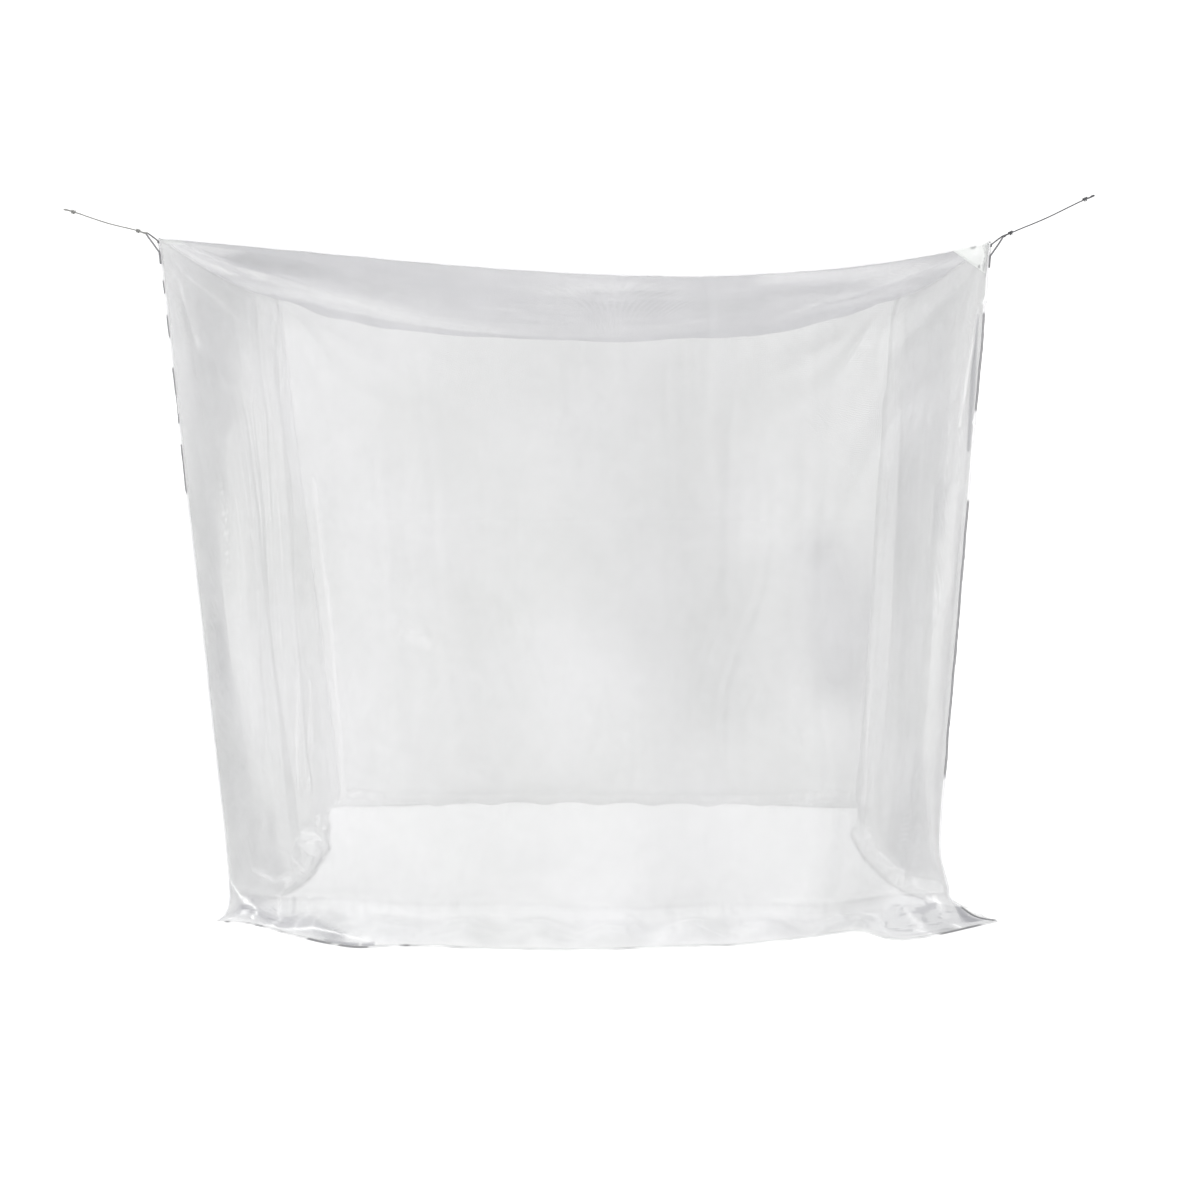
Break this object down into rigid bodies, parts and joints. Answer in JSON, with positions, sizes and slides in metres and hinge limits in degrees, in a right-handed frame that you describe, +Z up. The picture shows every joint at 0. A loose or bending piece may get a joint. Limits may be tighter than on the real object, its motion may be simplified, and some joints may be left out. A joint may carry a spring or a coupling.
{
  "type": "hanging mosquito net",
  "caption": "Rectangular netting canopy that hangs by ribbon loops and cords at its roof corners, with bound seams and a taped hem that lies on the floor.",
  "frame": {"origin": "on the floor, under the middle of the net's outline without its cords", "axes": "+X along the net's length, towards its right end as seen from the front; +Y from the front to the back; +Z up"},
  "size_m": [2.4059, 1.9344, 1.7684],
  "materials": {
    "netting": "fine knitted polyester mesh, see-through",
    "seam_tape": "soft woven binding over netting",
    "hem_tape": "soft woven tape",
    "patch_cloth": "close plain weave",
    "ribbon": "grosgrain ribbon",
    "cord_light": "twisted cotton cord",
    "cord_dark": "twisted cord, grey"
  },
  "bodies": {
    "canopy": {"roof_panel": "netting", "wall_front": "netting", "wall_right": "netting", "wall_back": "netting", "wall_left": "netting", "roof_seam_front": "seam_tape", "roof_seam_right": "seam_tape", "roof_seam_back": "seam_tape", "roof_seam_left": "seam_tape", "corner_seam_front_left": "seam_tape", "corner_seam_front_right": "seam_tape", "corner_seam_back_right": "seam_tape", "corner_seam_back_left": "seam_tape", "corner_patch_front_left": "patch_cloth", "corner_patch_front_right": "patch_cloth", "corner_patch_back_right": "patch_cloth", "corner_patch_back_left": "patch_cloth"},
    "skirt": {"hem_front": "hem_tape", "hem_right": "hem_tape", "hem_back": "hem_tape", "hem_left": "hem_tape"},
    "loop_front_left": {"corner_loop_front_left": "ribbon"},
    "loop_front_right": {"corner_loop_front_right": "ribbon"},
    "loop_back_right": {"corner_loop_back_right": "ribbon"},
    "loop_back_left": {"corner_loop_back_left": "ribbon"},
    "cord_body_front_left": {"cord_front_left": "cord_light", "cord_tie_front_left": "cord_light", "cord_eye_front_left": "cord_light"},
    "cord_body_front_right": {"cord_front_right": "cord_dark", "cord_tie_front_right": "cord_dark", "cord_eye_front_right": "cord_dark"}
  },
  "joints": [
    {"name": "skirt_lift", "type": "slide", "parent": "canopy", "child": "skirt", "axis": [0, 0, 1], "range_m": [0, 0.8], "deforming": ["wall_front", "wall_right", "wall_back", "wall_left", "corner_seam_front_left", "corner_seam_front_right", "corner_seam_back_right", "corner_seam_back_left"]},
    {"name": "loop_swing_front_left", "type": "hinge", "parent": "canopy", "child": "loop_front_left", "pos_m": [-1.0177, -0.7652, 1.69], "axis": [-0.0745, -0.0836, 0.9937], "range_deg": [-35, 35]},
    {"name": "loop_swing_front_right", "type": "hinge", "parent": "canopy", "child": "loop_front_right", "pos_m": [0.9823, -0.7652, 1.678], "axis": [0.0594, -0.0612, 0.9964], "range_deg": [-35, 35]},
    {"name": "loop_swing_back_right", "type": "hinge", "parent": "canopy", "child": "loop_back_right", "pos_m": [0.9823, 0.7348, 1.7], "axis": [0.0605, -0.0302, 0.9977], "range_deg": [-35, 35]},
    {"name": "loop_swing_back_left", "type": "hinge", "parent": "canopy", "child": "loop_back_left", "pos_m": [-1.0177, 0.7348, 1.7], "axis": [-0.1084, -0.0301, 0.9937], "range_deg": [-35, 35]},
    {"name": "cord_swing_front_left", "type": "hinge", "parent": "loop_front_left", "child": "cord_body_front_left", "pos_m": [-1.04307, -0.78324, 1.69866], "axis": [0.5734, -0.8189, -0.0259], "range_deg": [-70, 92]},
    {"name": "cord_swing_front_right", "type": "hinge", "parent": "loop_front_right", "child": "cord_body_front_right", "pos_m": [1.00867, -0.78129, 1.68748], "axis": [0.5149, 0.857, 0.022], "range_deg": [-65, 94]}
  ]
}
